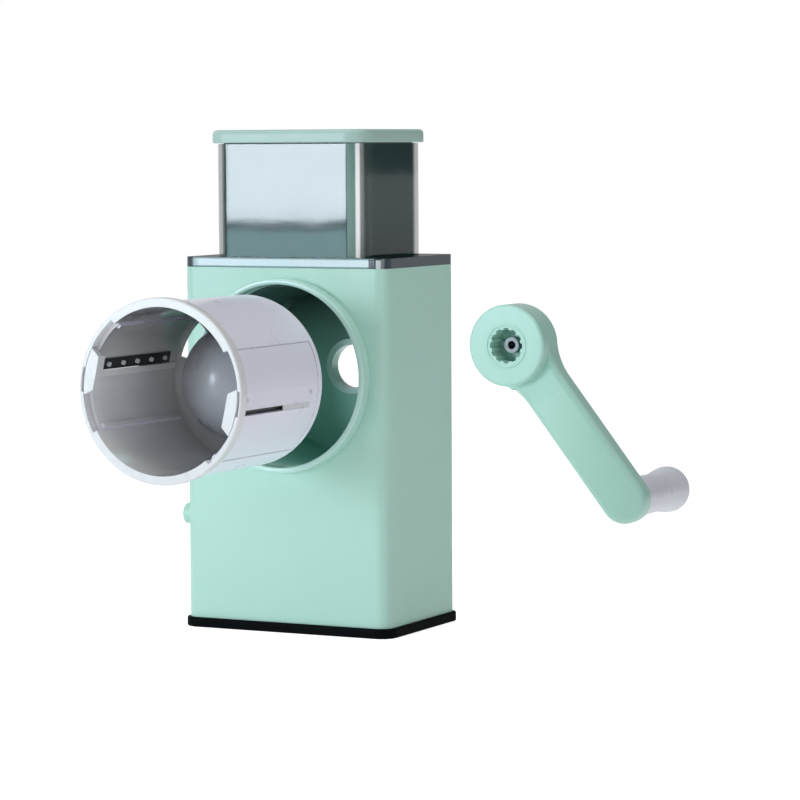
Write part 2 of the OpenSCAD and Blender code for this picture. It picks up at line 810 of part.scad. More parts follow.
// Dark strip over the slot's other side, inside the drum, with a row of small studs
module tooth_comb() {
    length = slot_end - slot_start;
    count = floor((length - 2 * stud_r) / stud_pitch);
    rotate(slot_mid) {
        translate([comb_x, comb_mid_y - comb_w / 2, slot_start]) cube([comb_t, comb_w, length]);
        translate([comb_x + comb_t / 2, comb_mid_y, (slot_start + slot_end - count * stud_pitch) / 2])
            for (i = [0 : count]) translate([0, 0, i * stud_pitch]) rotate([0, -90, 0])
                cylinder(r = stud_r, h = stud_h + comb_t / 2);
    }
}

// Two rivet heads on the blade's ends
module blade_rivets() {
    on_blade() for (z = [blade_start + 2 * rivet_r, blade_start + blade_len - 2 * rivet_r])
        translate([0, -blade_w / 2, z]) rotate([0, 90, 0]) cylinder(r = rivet_r, h = rivet_h);
}

module left_blade_panel() { color("#d4d7e2") on_axis(drum_rear_y) blade_panel(); }
module right_blade_panel() { color("#d4d7e2") on_axis(drum_rear_y) rotate(180) blade_panel(); }
module left_slicing_blade() { color("#c8ccd0") on_axis(drum_rear_y) slicing_blade(); }
module right_slicing_blade() { color("#c8ccd0") on_axis(drum_rear_y) rotate(180) slicing_blade(); }
module left_tooth_comb() { color("#2c3436") on_axis(drum_rear_y) tooth_comb(); }
module right_tooth_comb() { color("#2c3436") on_axis(drum_rear_y) rotate(180) tooth_comb(); }
module left_blade_rivets() { color("#b8babd") on_axis(drum_rear_y) blade_rivets(); }
module right_blade_rivets() { color("#b8babd") on_axis(drum_rear_y) rotate(180) blade_rivets(); }

// Places a shape in the crank's frame: hub axis at the origin, arm hanging down, +Z to the front
module on_crank(depth) {
    on_axis(hub_face_y + depth) rotate(arm_turn) children();
}

// Outline of the arm from hub to end, with a hollow sweep into the hub on both sides
module arm_outline() {
    touch_x = (arm_end_r + arm_fillet_r) * hub_touch_share;
    touch_y = -arm_fillet_y * hub_touch_share;
    circle(r = hub_r);
    translate([0, -crank_throw]) circle(r = arm_end_r);
    difference() {
        polygon([
            [0, 0], [touch_x, touch_y], [arm_end_r, -arm_fillet_y], [arm_end_r, -crank_throw],
            [-arm_end_r, -crank_throw], [-arm_end_r, -arm_fillet_y], [-touch_x, touch_y]
        ]);
        for (side = [-1, 1]) translate([side * (arm_end_r + arm_fillet_r), -arm_fillet_y])
            circle(r = arm_fillet_r);
    }
}

module crank_arm() {
    color("#b2dad0") difference() {
        union() {
            on_crank(hub_len) cylinder(r = hub_r, h = hub_len);
            on_crank(hub_len) linear_extrude(height = arm_t) arm_outline();
            on_crank(ring_h) ring(ring_r - ring_wall, ring_r, 2 * ring_h);
        }
        on_axis(hub_face_y + socket_depth) linear_extrude(height = socket_depth + ring_h + over)
            spline_section(gap);
        on_crank(socket_depth + sleeve_root) cylinder(r = sleeve_r, h = sleeve_root + over);
        on_crank(hub_len + over) translate([0, -crank_throw, 0]) cylinder(r = axle_r, h = axle_root + over);
    }
}

// Hollow steel pin standing in the socket
module crank_sleeve() {
    color("#c4c7ca") on_crank(socket_depth + sleeve_root)
        ring(sleeve_bore_r, sleeve_r, sleeve_len + sleeve_root - gap);
}

// Headed axle, rooted in the arm, that the grip turns on
module grip_axle() {
    color("#b8babd") on_grip() {
        translate([0, 0, -grip_gap - axle_root]) cylinder(r = axle_r, h = axle_len + grip_gap + axle_root);
        translate([0, 0, axle_len]) cylinder(r = axle_head_r, h = axle_head_t);
    }
}

// Radius of the grip at a share s of its length, from the arm to the end
function grip_radius(s) =
    s < 0.5 ? grip_neck_r + grip_flare * pow(1 - 2 * s, 2)
    : grip_neck_r + (grip_bulb_r - grip_neck_r) * (1 - cos(180 * min(1, (s - 0.5) / grip_swell_share))) / 2;

// Places a shape in the grip's frame: origin on the arm's back, +Z along the grip
module on_grip() {
    on_crank(hub_len) translate([0, -crank_throw, -grip_gap]) mirror([0, 0, 1]) children();
}

module grip() {
    skin = [for (i = [0 : grip_steps]) [
        grip_radius(grip_top_share * i / grip_steps), grip_body_len * i / grip_steps
    ]];
    color("#b4b9ca") on_grip() difference() {
        rotate_extrude() polygon(concat([[0, 0]], skin, [[0, grip_body_len]]));
        translate([0, 0, -over]) cylinder(r = axle_r + running_gap, h = grip_body_len + 2 * over);
        translate([0, 0, axle_len - gap]) cylinder(r = axle_head_r + gap, h = grip_body_len);
    }
}

// Rounded plug that closes the grip's end
module grip_cap() {
    dome_h = grip_len - grip_body_len - grip_gap;
    color("#b4b9ca") on_grip() translate([0, 0, grip_body_len]) rotate_extrude() polygon(concat(
        [[0, 0]],
        [for (i = [0 : grip_steps]) [grip_bulb_r * cos(90 * i / grip_steps), dome_h * sin(90 * i / grip_steps)]]
    ));
}

body_shell();
front_collar();
drum_housing();
base_plate();
base_screws();
suction_cup();
suction_bell();
suction_stem();
cam_shaft();
lift_cam();
suction_lever();
lever_screw();
drive_bush();
bush_clip();
hopper();
flange_catch();
pusher_cap();
pusher_box();
drum_shell();
drum_dome();
drum_shaft();
shaft_screws();
left_blade_panel();
right_blade_panel();
left_slicing_blade();
right_slicing_blade();
left_tooth_comb();
right_tooth_comb();
left_blade_rivets();
right_blade_rivets();
crank_arm();
crank_sleeve();
grip_axle();
grip();
grip_cap();
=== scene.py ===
# %% [markdown]
# # Dressing a hand-cranked drum shredder
#
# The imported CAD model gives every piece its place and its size. This lesson keeps that frame and
# gives each piece its looks: softened edges, moulded plastic, smoke-clear walls and ground steel.
# It could be modelled afresh by eye, but then nothing would fit. So each piece starts from the
# frame's own numbers, and only edges, finishes and turned forms are added here.

# %% Load the frame
import json
import math

import bmesh
import bpy
from mathutils import Matrix, Vector


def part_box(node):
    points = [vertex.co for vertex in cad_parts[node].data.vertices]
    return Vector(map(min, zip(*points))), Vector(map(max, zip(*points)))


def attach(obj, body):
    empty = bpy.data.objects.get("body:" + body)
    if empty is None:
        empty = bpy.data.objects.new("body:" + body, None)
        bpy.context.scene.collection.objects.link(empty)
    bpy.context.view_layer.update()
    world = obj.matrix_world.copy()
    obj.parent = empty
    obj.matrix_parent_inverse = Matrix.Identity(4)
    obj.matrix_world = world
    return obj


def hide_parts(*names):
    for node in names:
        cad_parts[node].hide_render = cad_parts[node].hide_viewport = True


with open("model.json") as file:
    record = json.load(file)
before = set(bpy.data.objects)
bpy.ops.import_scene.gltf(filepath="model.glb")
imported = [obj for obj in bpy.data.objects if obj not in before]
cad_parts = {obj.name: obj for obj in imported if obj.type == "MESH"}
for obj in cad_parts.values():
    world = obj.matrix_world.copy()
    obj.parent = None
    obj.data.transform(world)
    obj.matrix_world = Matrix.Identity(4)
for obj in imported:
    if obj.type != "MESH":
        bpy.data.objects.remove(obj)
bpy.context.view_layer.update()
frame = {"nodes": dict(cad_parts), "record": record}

mm = 0.001
nodes = frame["nodes"]
groups = frame["record"]["behaviour"]["bodies"]
body_of = {node: body for body, group in groups.items() for node in group}

# %% [markdown]
# ## The camera
#
# The picture was taken with a long lens from the front right, about level with the lid. A camera
# could be dragged into place by hand, but then its angles are guesses. Here its place, its three
# angles and its focal length in pixels are written down, and its axes are worked out from them.

# %% Camera
photo_px = 800
sensor_mm = 36
focal_px = 3352.761
camera_at = Vector((0.916779, -1.698324, 0.2775))
yaw, pitch, roll = math.radians(27.0), math.radians(4.396), math.radians(-0.341)

backward = Vector((math.sin(yaw) * math.cos(pitch), -math.cos(yaw) * math.cos(pitch), math.sin(pitch)))
level = Vector((math.cos(yaw), math.sin(yaw), 0))
upright = backward.cross(level)
rightward = level * math.cos(roll) + upright * math.sin(roll)
upward = upright * math.cos(roll) - level * math.sin(roll)

camera_data = bpy.data.cameras.new("camera")
camera_data.sensor_width = sensor_mm
camera_data.lens = focal_px / photo_px * sensor_mm
camera_data.clip_end = 100
camera = bpy.data.objects.new("camera", camera_data)
facing = Matrix((rightward, upward, backward)).transposed().to_4x4()
camera.matrix_world = Matrix.Translation(camera_at) @ facing
bpy.context.scene.collection.objects.link(camera)
bpy.context.scene.camera = camera
print("lens", round(camera_data.lens, 2), "mm")

# %% [markdown]
# ## The table
#
# The object stands on a white table in soft light. A plain white disc would turn grey at its far
# side, so the table glows a little: more for the eye than for the object, so that it looks white
# without lighting everything from below. Colours are shown plainly, with no film look over them.

# %% Table
bpy.context.scene.view_settings.view_transform = "Standard"
bpy.context.scene.view_settings.look = "None"
table_r = 30
table_gap = 0.1 * mm
glow_for_light, glow_for_eye = 0.22, 0.75


def keep(name, data):
    thing = bpy.data.objects.new(name, data)
    bpy.context.scene.collection.objects.link(thing)
    return thing


floor_mesh = bpy.data.meshes.new("floor")
bm = bmesh.new()
bmesh.ops.create_circle(bm, cap_ends=True, radius=table_r, segments=96)
bmesh.ops.translate(bm, vec=(0, 0, -table_gap), verts=bm.verts)
bm.to_mesh(floor_mesh)
bm.free()
floor = keep("floor", floor_mesh)
floor_finish = bpy.data.materials.new("pale_floor")
floor_finish.use_nodes = True
floor_shader = floor_finish.node_tree.nodes["Principled BSDF"]
floor_shader.inputs["Base Color"].default_value = (0.93, 0.93, 0.94, 1)
floor_shader.inputs["Roughness"].default_value = 0.7
floor_shader.inputs["Emission Color"].default_value = (1, 1, 1, 1)
floor_path = floor_finish.node_tree.nodes.new("ShaderNodeLightPath")
floor_glow = floor_finish.node_tree.nodes.new("ShaderNodeMapRange")
floor_glow.inputs["To Min"].default_value = glow_for_light
floor_glow.inputs["To Max"].default_value = glow_for_eye
floor_finish.node_tree.links.new(floor_path.outputs["Is Camera Ray"], floor_glow.inputs["Value"])
floor_finish.node_tree.links.new(floor_glow.outputs["Result"], floor_shader.inputs["Emission Strength"])
floor_mesh.materials.append(floor_finish)
print("table", 2 * table_r, "m across")

# %% [markdown]
# ## The surroundings
#
# What lies round the object shows in every glossy edge. An even grey would flatten the form, so
# the fill falls off from left to right, and the right side of the body stays darker, as in the
# picture. The eye itself sees plain white behind the object.

# %% Surroundings
left_fill, right_fill = 0.80, 0.04
fill_left_x, fill_right_x = -1, 0.4
world = bpy.data.worlds.new("surroundings")
bpy.context.scene.world = world
world.use_nodes = True
tree = world.node_tree
tree.nodes.clear()
sky_place = tree.nodes.new("ShaderNodeTexCoord")
sky_split = tree.nodes.new("ShaderNodeSeparateXYZ")
sky_ramp = tree.nodes.new("ShaderNodeMapRange")
sky_fill = tree.nodes.new("ShaderNodeBackground")
sky_seen = tree.nodes.new("ShaderNodeBackground")
sky_path = tree.nodes.new("ShaderNodeLightPath")
sky_mix = tree.nodes.new("ShaderNodeMixShader")
sky_out = tree.nodes.new("ShaderNodeOutputWorld")
sky_ramp.inputs["From Min"].default_value = fill_left_x
sky_ramp.inputs["From Max"].default_value = fill_right_x
sky_ramp.inputs["To Min"].default_value = left_fill
sky_ramp.inputs["To Max"].default_value = right_fill
sky_fill.inputs["Color"].default_value = (0.97, 0.985, 1, 1)
sky_seen.inputs["Color"].default_value = (1, 1, 1, 1)
tree.links.new(sky_place.outputs["Generated"], sky_split.inputs["Vector"])
tree.links.new(sky_split.outputs["X"], sky_ramp.inputs["Value"])
tree.links.new(sky_ramp.outputs["Result"], sky_fill.inputs["Strength"])
tree.links.new(sky_path.outputs["Is Camera Ray"], sky_mix.inputs["Fac"])
tree.links.new(sky_fill.outputs["Background"], sky_mix.inputs[1])
tree.links.new(sky_seen.outputs["Background"], sky_mix.inputs[2])
tree.links.new(sky_mix.outputs["Shader"], sky_out.inputs["Surface"])
print("fill from", left_fill, "on the left to", right_fill, "on the right")

# %% [markdown]
# ## Soft panels
#
# Large lamps give the long soft highlights of a studio, where small ones would leave hard shadows
# and sharp glints. The front left panel also shows as the pale sheet mirrored in the hopper's
# front, so it stands where that mirror image falls, and its lower edge is where the image ends. A
# dim card under it tints what is mirrored below.


# %% Panels of light
def soft_panel(name, at, aim, width, height, watts, tint=(1, 1, 1)):
    data = bpy.data.lights.new(name, "AREA")
    data.shape = "RECTANGLE"
    data.size = width
    data.size_y = height
    data.energy = watts
    data.color = tint
    panel = keep(name, data)
    towards = Vector(aim) - Vector(at)
    turned_to_aim = towards.to_track_quat("-Z", "Y").to_matrix().to_4x4()
    panel.matrix_world = Matrix.Translation(at) @ turned_to_aim
    print(name, "at", [round(v, 2) for v in at], watts, "W")


hopper_middle = (-0.02, -0.044, 0.30)
body_right = (0.05, 0, 0.2)
crank_side = (0.05, 0.05, 0.12)
body_low = (0, 0, 0.1)
soft_panel("front_left_panel", at=(-0.88, -1.50, 0.375), aim=hopper_middle, width=0.42, height=0.36,
           watts=7.4, tint=(0.81, 0.92, 1))
soft_panel("front_left_card", at=(-0.88, -1.50, 0.105), aim=hopper_middle, width=0.42, height=0.16,
           watts=0.9, tint=(0.55, 0.93, 1))
soft_panel("front_right_panel", at=(1.20, -0.95, 0.32), aim=body_right, width=0.80, height=0.40, watts=1.8)
soft_panel("right_high_panel", at=(0.85, -0.30, 1.85), aim=crank_side, width=0.9, height=0.9, watts=8.5)
soft_panel("overhead_panel", at=(-0.25, -0.35, 1.7), aim=body_low, width=1.4, height=1.4, watts=8.5)

# %% [markdown]
# ## Parts of a finish
#
# Every finish here is built from the same few parts: a noise read from the object's own place, a
# range that scales it, a mix of two colours and a bump. They could be wired by hand in each
# finish, but short helpers keep the recipes readable and the wiring the same everywhere.


# %% Helpers for finishes
def blank(name):
    finish = bpy.data.materials.new(name)
    finish.use_nodes = True
    print("finish:", name)
    return finish, finish.node_tree.nodes, finish.node_tree.links


def noise(parts, links, place, scale, detail, stretch=(1, 1, 1)):
    """A noise read from the object's own place, between nothing and one."""
    mapping = parts.new("ShaderNodeMapping")
    mapping.inputs["Scale"].default_value = stretch
    texture = parts.new("ShaderNodeTexNoise")
    texture.inputs["Scale"].default_value = scale
    texture.inputs["Detail"].default_value = detail
    links.new(place.outputs["Object"], mapping.inputs["Vector"])
    links.new(mapping.outputs["Vector"], texture.inputs["Vector"])
    return texture.outputs["Fac"]


def ranged(parts, links, source, low, high, start=0.3, end=0.7):
    """Scales a value that runs from start to end, so that it runs from low to high."""
    fit = parts.new("ShaderNodeMapRange")
    fit.inputs["From Min"].default_value = start
    fit.inputs["From Max"].default_value = end
    fit.inputs["To Min"].default_value = low
    fit.inputs["To Max"].default_value = high
    links.new(source, fit.inputs["Value"])
    return fit.outputs["Result"]


def blended(parts, links, factor, first, second):
    mix = parts.new("ShaderNodeMix")
    mix.data_type = "RGBA"
    mix.inputs["A"].default_value = (*first, 1)
    mix.inputs["B"].default_value = (*second, 1)
    links.new(factor, mix.inputs["Factor"])
    return mix.outputs["Result"]


def bumped(parts, links, shader, *layers):
    """Lays bumps one over the other, each of a height source, a strength and a depth."""
    normal = None
    for height, strength, depth in layers:
        bump = parts.new("ShaderNodeBump")
        bump.inputs["Strength"].default_value = strength
        bump.inputs["Distance"].default_value = depth
        links.new(height, bump.inputs["Height"])
        if normal:
            links.new(normal, bump.inputs["Normal"])
        normal = bump.outputs["Normal"]
    links.new(normal, shader.inputs["Normal"])


less_rough, more_rough = 0.03, 0.05
print("roughness wanders from", -less_rough, "to", more_rough, "about its middle")

# %% [markdown]
# ## Moulded plastics
#
# Moulded plastic is never one flat colour: it has faint flow clouds, a fine tool grain and places
# that are a touch duller. These could be painted, but noise read from object coordinates has no
# seams and works on every piece. So one recipe serves all the plastics: two close colours mixed by
# a broad noise, a roughness that wanders, and a bump of two sizes.

# %% A recipe for moulded plastic
cloud_scale, ripple_scale, dull_scale, tool_scale = 14, 22, 70, 2600
ripple_depth, tool_depth = 2 * mm, 0.05 * mm


def moulded(name, light, dark, rough, grain=0.04, wave=0.02, coat=0.0, shine=0.5):
    finish, parts, links = blank(name)
    shader = parts["Principled BSDF"]
    place = parts.new("ShaderNodeTexCoord")
    cloud = noise(parts, links, place, cloud_scale, 3)
    dull = noise(parts, links, place, dull_scale, 4)
    tool = noise(parts, links, place, tool_scale, 2)
    ripple = noise(parts, links, place, ripple_scale, 1)
    colour = blended(parts, links, ranged(parts, links, cloud, 0, 1), light, dark)
    roughness = ranged(parts, links, dull, rough - less_rough, rough + more_rough)
    links.new(colour, shader.inputs["Base Color"])
    links.new(roughness, shader.inputs["Roughness"])
    bumped(parts, links, shader, (ripple, wave, ripple_depth), (tool, grain, tool_depth))
    shader.inputs["Specular IOR Level"].default_value = shine
    shader.inputs["Coat Weight"].default_value = coat
    shader.inputs["Coat Roughness"].default_value = 0.12
    return finish


shell_mint = moulded("shell_mint", (0.468, 0.748, 0.645), (0.453, 0.728, 0.625), 0.36, coat=0.1)
arm_mint = moulded("arm_mint", (0.465, 0.765, 0.665), (0.45, 0.745, 0.645), 0.30, wave=0.005, coat=0.35)
# A lighter, glossier copy of the shell's mint for the collar's lip: the gloss is real, the lighter colour
# is a painted highlight.
mint_painted_highlight = moulded("mint_painted_highlight", (0.53, 0.80, 0.725), (0.51, 0.78, 0.705), 0.22, coat=0.6)
lid_mint = moulded("lid_mint", (0.41, 0.59, 0.54), (0.39, 0.57, 0.52), 0.34)
# The pusher's near-black colour is painted shade: the dark inside the closed hopper and up the throat.
pusher_painted_shade = moulded("pusher_painted_shade", (0.055, 0.115, 0.11), (0.045, 0.10, 0.095), 0.40, shine=0.2)
base_black = moulded("base_black", (0.002, 0.003, 0.004), (0.005, 0.006, 0.007), 0.46, grain=0.2,
                     shine=0.02)
drum_grey = moulded("drum_grey", (0.88, 0.885, 0.99), (0.86, 0.865, 0.97), 0.30, wave=0.01, coat=0.15)
# The rim's finish is the drum's own plastic, whiter and less lilac where light falls on the front rim and
# the tabs: painted light.
rim_painted_light = moulded("rim_painted_light", (0.79, 0.80, 0.82), (0.77, 0.78, 0.80), 0.26, wave=0.01, coat=0.3)
panel_grey = moulded("panel_grey", (0.865, 0.87, 0.975), (0.845, 0.85, 0.955), 0.30, wave=0.01, coat=0.15)
dome_grey = moulded("dome_grey", (0.49, 0.50, 0.545), (0.465, 0.475, 0.52), 0.28, wave=0.01, coat=0.3)
grip_grey = moulded("grip_grey", (0.80, 0.82, 0.90), (0.775, 0.795, 0.875), 0.30, coat=0.2)
bell_white = moulded("bell_white", (0.66, 0.69, 0.69), (0.62, 0.65, 0.65), 0.45)
stud_grey = moulded("stud_grey", (0.70, 0.71, 0.74), (0.64, 0.65, 0.69), 0.30)
# The steel lip's near-white colour is a painted highlight, the reflection of its steel painted in.
lip_painted_highlight = moulded("lip_painted_highlight", (0.98, 0.98, 0.985), (0.95, 0.95, 0.96), 0.16, coat=1.0)
strip_black = moulded("strip_black", (0.012, 0.013, 0.016), (0.02, 0.021, 0.024), 0.30)
cup_rubber = moulded("cup_rubber", (0.018, 0.019, 0.021), (0.03, 0.031, 0.034), 0.62, grain=0.5)

# %% [markdown]
# ## Steel
#
# The blades are ground, so fine scratches run along them, while screws and pins are plated. A
# metal that is one grey looks like paint. A noise stretched along the strip gives the scratches,
# and the same noise wanders in the roughness, which breaks up the reflections as grinding does.


# %% Ground and plated steel
scratch_scale, stain_scale = 900, 60


def steel(name, colour, shade, rough, stretch=(1, 1, 1)):
    finish, parts, links = blank(name)
    shader = parts["Principled BSDF"]
    shader.inputs["Metallic"].default_value = 1.0
    place = parts.new("ShaderNodeTexCoord")
    scratch = noise(parts, links, place, scratch_scale, 4, stretch)
    stain = noise(parts, links, place, stain_scale, 3)
    stained = blended(parts, links, ranged(parts, links, stain, 0, 1), colour, shade)
    roughness = ranged(parts, links, scratch, rough - 0.07, rough + 0.1)
    links.new(stained, shader.inputs["Base Color"])
    links.new(roughness, shader.inputs["Roughness"])
    bumped(parts, links, shader, (scratch, 0.25, 0.04 * mm))
    return finish


along_drum = (1, 0.03, 1)
blade_steel = steel("blade_steel", (0.78, 0.79, 0.81), (0.66, 0.67, 0.70), 0.24, along_drum)
fastener_steel = steel("fastener_steel", (0.70, 0.71, 0.73), (0.58, 0.59, 0.62), 0.3)
pin_steel = steel("pin_steel", (0.30, 0.31, 0.33), (0.22, 0.23, 0.25), 0.42)

# %% [markdown]
# ## Finishes that follow a place
#
# Some surfaces aren't the same all over: the chamber and the inside of the drum get darker towards
# the top and a little towards the rear, and the hopper's thick clear edges gather light. Extra
# lamps or hidden cards could do some of this, but a pattern read from the object's own place stays
# right from every side. So these helpers turn a place into a factor between nothing and one.


# %% Helpers that read a place
def placed(parts, links):
    place = parts.new("ShaderNodeTexCoord")
    split = parts.new("ShaderNodeSeparateXYZ")
    links.new(place.outputs["Object"], split.inputs["Vector"])
    return place, split.outputs


def product(parts, links, first, second):
    times = parts.new("ShaderNodeMath")
    times.operation = "MULTIPLY"
    links.new(first, times.inputs[0])
    links.new(second, times.inputs[1])
    return times.outputs["Value"]


def band(parts, links, value, low, high, soft):
    """One between low and high, nothing outside, with soft ends."""
    rise = ranged(parts, links, value, 0, 1, low - soft, low + soft)
    fall = ranged(parts, links, value, 1, 0, high - soft, high + soft)
    return product(parts, links, rise, fall)


def shaded(name, light_at, lit, unlit, rough, coat=0.0):
    """A moulded plastic whose colour runs from unlit to lit by a factor of place."""
    finish, parts, links = blank(name)
    shader = parts["Principled BSDF"]
    place, axes = placed(parts, links)
    cloud = noise(parts, links, place, 40, 3)
    tool = noise(parts, links, place, tool_scale, 2)
    drift = ranged(parts, links, cloud, 0.92, 1.0)
    factor = product(parts, links, light_at(parts, links, axes), drift)
    roughness = ranged(parts, links, cloud, rough - less_rough, rough + more_rough)
    links.new(blended(parts, links, factor, unlit, lit), shader.inputs["Base Color"])
    links.new(roughness, shader.inputs["Roughness"])
    bumped(parts, links, shader, (tool, 0.04, tool_depth))
    shader.inputs["Coat Weight"].default_value = coat
    shader.inputs["Coat Roughness"].default_value = 0.1
    return finish


chamber_low, chamber_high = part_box("drum_housing")
drum_low, drum_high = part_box("drum_shell")
print("chamber from", round(chamber_low[2] / mm, 1), "to", round(chamber_high[2] / mm, 1), "mm up")
print("drum from", round(drum_low[2] / mm, 1), "to", round(drum_high[2] / mm, 1), "mm up")

# %% [markdown]
# ## Chamber and drum inside
#
# The chamber is moulded in the body's mint, but hardly any light reaches its upper half, which
# looks nearly black green. The drum is pale inside and polished by its mould, brightest at the
# bottom and grey under the top. Real shade does part of this, but the soft lamps here reach too
# far in. So both finishes carry the rest of the shade, from about the axis's height upwards.

# %% Finishes for the chamber and the drum's inside
shade_full_z = 188 * mm
chamber_shade_z = 146 * mm
drum_shade_z = 148 * mm
drum_shade_y = drum_low[1] + 10 * mm


def chamber_light(parts, links, axes):
    lower = ranged(parts, links, axes["Z"], 1.0, 0.06, chamber_shade_z, shade_full_z)
    nearer = ranged(parts, links, axes["Y"], 1.0, 0.85, chamber_low[1], chamber_high[1])
    return product(parts, links, lower, nearer)


def drum_light(parts, links, axes):
    lower = ranged(parts, links, axes["Z"], 1.0, 0.0, drum_shade_z, shade_full_z)
    nearer = ranged(parts, links, axes["Y"], 1.0, 0.9, drum_shade_y, drum_high[1])
    return product(parts, links, nearer, lower)


housing_mint = shaded("housing_mint", chamber_light, (0.36, 0.78, 0.66), (0.005, 0.03, 0.022), 0.38)
drum_inside = shaded("drum_inside", drum_light, (0.965, 0.97, 0.98), (0.15, 0.15, 0.16), 0.18, coat=1.0)
print("full shade from", round(shade_full_z / mm), "mm up")

# %% [markdown]
# ## Smoke-clear plastic
#
# The hopper is dark see-through plastic with a polished skin. Real refraction would need many
# light bounces through thin walls and shows almost nothing here. So the skin is a glossy dark
# plastic that lets part of the light straight through, the same for the eye and for shadows, with
# a slow ripple that bends the mirrored panel's edge as moulded walls do. In the front right corner
# the thick wall gathers light, and that light is painted: a pale green band with a white streak
# along its outer side, a painted highlight.

# %% Smoke finish
smoke_alpha, corner_alpha = 0.40, 0.92
hopper_low, hopper_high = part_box("hopper")
lid_low, lid_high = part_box("pusher_cap")
lid_margin = 3 * mm
hopper_r = 10 * mm
hopper_corner_x = lid_high[0] - lid_margin - hopper_r
painted_band_x = hopper_corner_x + 0.9 * mm
painted_streak_x = hopper_corner_x + 5.6 * mm
painted_streak_end_x = hopper_corner_x + 7.6 * mm
corner_y, corner_end_y = -25 * mm, -20 * mm
painted_streak_soft = 0.3 * mm

smoke_clear, parts, links = blank("smoke_clear")
shader = parts["Principled BSDF"]
place, axes = placed(parts, links)
tone = noise(parts, links, place, 20, 2)
swell = noise(parts, links, place, 34, 1, (1, 1, 0.6))
# Painted light in the front right corner: a pale green band and a white streak, the painted highlight of
# the thick wall.
in_front = ranged(parts, links, axes["Y"], 1, 0, corner_y, corner_end_y)
painted_streak = product(parts, links, band(parts, links, axes["X"], painted_streak_x, painted_streak_end_x, painted_streak_soft), in_front)
painted_corner_band = product(parts, links, band(parts, links, axes["X"], painted_band_x, painted_streak_end_x, painted_streak_soft), in_front)
smoke_tone = ranged(parts, links, tone, 0, 1)
smoke_colour = blended(parts, links, smoke_tone, (0.03, 0.07, 0.072), (0.04, 0.082, 0.084))
for factor, colour in ((painted_corner_band, (0.20, 0.34, 0.31)), (painted_streak, (1, 1, 1))):
    over = parts.new("ShaderNodeMix")
    over.data_type = "RGBA"
    over.inputs["B"].default_value = (*colour, 1)
    links.new(factor, over.inputs["Factor"])
    links.new(smoke_colour, over.inputs["A"])
    smoke_colour = over.outputs["Result"]
links.new(smoke_colour, shader.inputs["Base Color"])
links.new(ranged(parts, links, tone, 0.03, 0.06), shader.inputs["Roughness"])
links.new(ranged(parts, links, painted_corner_band, smoke_alpha, corner_alpha, 0, 1), shader.inputs["Alpha"])
bumped(parts, links, shader, (swell, 0.10, 1.5 * mm))
shader.inputs["IOR"].default_value = 1.6
shader.inputs["Coat Weight"].default_value = 0.7
shader.inputs["Coat IOR"].default_value = 1.6
print("smoke lets through", round((1 - smoke_alpha) ** 2, 2), "of the light at each wall")

# %% [markdown]
# ## Clear rim and catch
#
# The hopper's flange is a thick clear slab. Seen from the front, its edge is a bright band between
# two dark lines, because it passes on the light that falls in from above; that bright band is
# painted light. The small catch in its right corner is dark and grooved, with a pale end. Both are
# drawn by place: bands and a split at measured heights and widths.

# %% Finishes for the rim and the catch
flange_top_z = 213 * mm
flange_t = 5.7 * mm
rim_line = 0.9 * mm
glow_low_x, glow_high_x, glow_soft = -57 * mm, 60 * mm, 3 * mm
glow_low_z, glow_high_z = flange_top_z - flange_t + rim_line, flange_top_z - rim_line
glow_y, glow_end_y = hopper_low[1] + 2 * mm, hopper_low[1] + 5 * mm

clear_rim, parts, links = blank("clear_rim")
shader = parts["Principled BSDF"]
place, axes = placed(parts, links)
# The bright band along the flange's front is painted light.
across = band(parts, links, axes["X"], glow_low_x, glow_high_x, glow_soft)
height = band(parts, links, axes["Z"], glow_low_z, glow_high_z, 0.3 * mm)
front = ranged(parts, links, axes["Y"], 1, 0, glow_y, glow_end_y)
painted_rim_glow = product(parts, links, product(parts, links, across, height), front)
rim_smear = noise(parts, links, place, 60, 3)
rim_colour = blended(parts, links, painted_rim_glow, (0.02, 0.04, 0.055), (0.60, 0.66, 0.70))
links.new(rim_colour, shader.inputs["Base Color"])
links.new(ranged(parts, links, rim_smear, 0.05, 0.12), shader.inputs["Roughness"])
shader.inputs["Coat Weight"].default_value = 0.6

catch_low, catch_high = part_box("flange_catch")
dark_share = 0.62
catch_split_x = catch_low[0] + dark_share * (catch_high[0] - catch_low[0])
split_soft = 0.1 * mm
catch_dark, parts, links = blank("catch_dark")
shader = parts["Principled BSDF"]
place, axes = placed(parts, links)
grooves = noise(parts, links, place, 900, 1, (1, 0.02, 0.02))
catch_smear = noise(parts, links, place, 90, 3)
pale_end = ranged(parts, links, axes["X"], 0, 1, catch_split_x - split_soft, catch_split_x + split_soft)
catch_colour = blended(parts, links, pale_end, (0.022, 0.032, 0.036), (0.62, 0.70, 0.70))
links.new(catch_colour, shader.inputs["Base Color"])
links.new(ranged(parts, links, catch_smear, 0.15, 0.25), shader.inputs["Roughness"])
bumped(parts, links, shader, (grooves, 0.6, 0.3 * mm))
print("flange's bright band", round((glow_high_z - glow_low_z) / mm, 1), "mm high")

# %% [markdown]
# ## Soft edges from the frame's own solids
#
# A mould has no knife edges: each rim is rounded by a few tenths of a millimetre, and that thin
# curve is what catches the light. The rounding could be faked with a bevel shader, but it would be
# missing from the mesh. So a copy of the CAD solid is merged, its flat triangles are joined into
# whole faces, and its sharp edges are bevelled, each set of edges with its own radius.

# %% Helpers for pieces
weld = 2e-6
flat_enough = math.radians(0.5)
sharp_from = math.radians(28)
smooth_up_to = math.radians(35)


def merged_copy(node):
    bm = bmesh.new()
    bm.from_mesh(nodes[node].data)
    bmesh.ops.remove_doubles(bm, verts=bm.verts, dist=weld)
    bmesh.ops.dissolve_limit(bm, angle_limit=flat_enough, verts=bm.verts, edges=bm.edges)
    return bm


